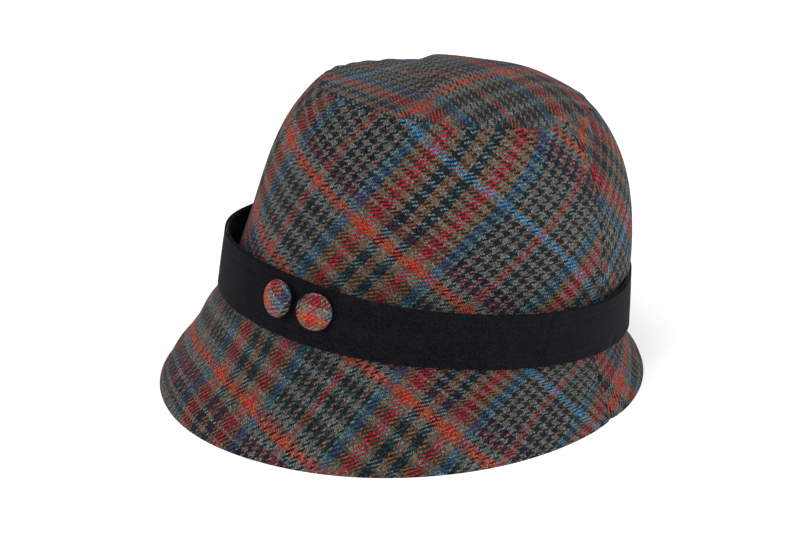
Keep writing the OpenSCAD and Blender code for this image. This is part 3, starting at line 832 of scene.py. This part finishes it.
def button_cover(number, lean, cloth_at, cloth_turn):
    """Tweed over one button, on the axes of its joints and leaning sideways by lean."""
    joints = {j["name"]: j for j in frame["joints"]}
    rock, swivel = joints[f"button_{number}_rock"], joints[f"button_{number}_swivel"]
    centre = np.array(rock["pos_m"]) / MM
    x, z = np.array(rock["axis"], float), np.array(swivel["axis"], float)
    x, z = x / np.linalg.norm(x), z / np.linalg.norm(z)
    y = np.cross(z, x)
    lean_cos, lean_sin = math.cos(math.radians(lean)), math.sin(math.radians(lean))
    x, z = x * lean_cos - z * lean_sin, x * lean_sin + z * lean_cos
    under, top, inside, back = button_profile()
    rings = under + top[:-1]
    lower = inside[1:] + back
    sides = 96
    w = np.linspace(0, 2 * math.pi, sides, endpoint=False)
    points, uv = [], []

    def ring(r, h, pucker):
        """One ring of the cover, gathered where pucker is above 0."""
        rr = r * (1 + pucker * (0.010 * np.sin(17 * w + number) + 0.006 * np.sin(29 * w)))
        hh = h + pucker * 0.12 * np.sin(13 * w + 2 * number)
        reach = r + max(0.0, RIM_Z + 2 - h) * 0.9
        for k in range(sides):
            lx, ly = rr[k] * math.cos(w[k]), rr[k] * math.sin(w[k])
            points.append(centre + x * lx + y * ly + z * (hh[k] - RING_Z))
            uv.append((cloth_at[0] + reach * math.cos(w[k] + cloth_turn),
                       cloth_at[1] + reach * math.sin(w[k] + cloth_turn)))

    for r, h in rings:
        ring(r, h, bump_at(h, RIM_Z + 0.6, 1.1) if r > 5 else 0.0)
    top_index = len(points)
    points.append(centre + z * (top[-1][1] - RING_Z))
    uv.append(cloth_at)
    for r, h in lower:
        ring(r, h, 0.0)
    bottom_index = len(points)
    points.append(centre + z * (inside[0][1] - RING_Z))
    uv.append(cloth_at)
    faces = []

    def join(p, q):
        """Band of faces between the rings that start at points p and q."""
        for k in range(sides):
            m = (k + 1) % sides
            faces.append((p + k, p + m, q + m, q + k))

    for k in range(len(rings) - 1):
        join(k * sides, (k + 1) * sides)
    first = top_index + 1
    last = top_index - sides
    for k in range(sides):
        m = (k + 1) % sides
        faces.append((last + k, last + m, top_index))
        faces.append((bottom_index, first + m, first + k))
    for k in range(len(lower) - 1):
        join(first + k * sides, first + (k + 1) * sides)
    join(first + (len(lower) - 1) * sides, 0)
    piece = make_mesh(f"button_{number}_tweed", points, faces, uv, MAT["button_tweed_painted_lighter"])
    return finished(piece, f"button_{number}", [f"button_{number}_cover"])


button_cover(1, -LEAN, cloth_at=(66.0, 84.0), cloth_turn=0.5)
button_cover(2, LEAN, cloth_at=(60.5, 83.0), cloth_turn=0.1)

# The metal parts and the thread are the CAD nodes themselves
for number in (1, 2):
    for part, slot in (("shell", "steel"), ("back", "steel"), ("shank", "steel"), ("thread", "dark_thread")):
        node = frame["nodes"][f"button_{number}_{part}"]
        node.data.materials.clear()
        node.data.materials.append(MAT[slot])


# ---- Stage, light and camera ----

def stage_floor():
    """Plain pale floor."""
    m = Nodes("floor_paper")
    place, _ = m.place()
    grain = m.noise(place, 300.0, 2.0)
    colour = m.ramp(grain, [(0.3, (0.93, 0.93, 0.93)), (0.7, (0.96, 0.96, 0.96))])
    material = m.finish(colour, 0.9, Specular_IOR_Level=0.1)
    length, squares = 6000.0, 24
    lines = squares + 1
    places = np.linspace(-length / 2, length / 2, lines)
    points = [(x, y, 0.0) for y in places for x in places]
    corners = [j * lines + i for j in range(squares) for i in range(squares)]
    faces = [(k, k + 1, k + lines + 1, k + lines) for k in corners]
    floor = make_mesh("studio_floor", points, faces, material=material)


def lamp(name, place, aim, size, power):
    """Round soft light."""
    data = bpy.data.lights.new(name, "AREA")
    data.shape, data.size, data.energy = "DISK", size, power
    made = bpy.data.objects.new(name, data)
    made.location = place
    made.rotation_mode = "QUATERNION"
    made.rotation_quaternion = (Vector(aim) - Vector(place)).to_track_quat("-Z", "Y")
    bpy.context.scene.collection.objects.link(made)


def camera(azimuth, elevation, distance, aim, lens):
    """Camera at the photograph's viewing angle, azimuth counted from the front."""
    data = bpy.data.cameras.new("photo_camera")
    data.lens, data.sensor_width = lens, 36.0
    data.clip_start, data.clip_end = 0.05, 50.0
    made = bpy.data.objects.new("photo_camera", data)
    a, e = math.radians(azimuth), math.radians(elevation)
    back = Vector((math.sin(a) * math.cos(e), -math.cos(a) * math.cos(e), math.sin(e)))
    made.location = Vector(aim) + back * distance
    made.rotation_mode = "QUATERNION"
    made.rotation_quaternion = (-back).to_track_quat("-Z", "Y")
    bpy.context.scene.collection.objects.link(made)
    bpy.context.scene.camera = made


stage_floor()
camera(azimuth=61.3, elevation=23.7, distance=1.5, aim=(0.0057, -0.0036, 0.0567), lens=141.0)
lamp("key", place=(0.6, -1.9, 1.1), aim=(0, 0, 0.08), size=1.6, power=34)
lamp("fill", place=(1.5, 1.5, 0.7), aim=(0, 0, 0.06), size=1.6, power=40)
lamp("top", place=(0.2, 0.0, 2.0), aim=(0, 0, 0.1), size=1.6, power=6)
world = bpy.data.worlds.new("studio")
world.use_nodes = True
world.node_tree.nodes["Background"].inputs[0].default_value = (1, 1, 1, 1)
world.node_tree.nodes["Background"].inputs[1].default_value = 0.85
bpy.context.scene.world = world
bpy.context.scene.view_settings.view_transform = "Standard"
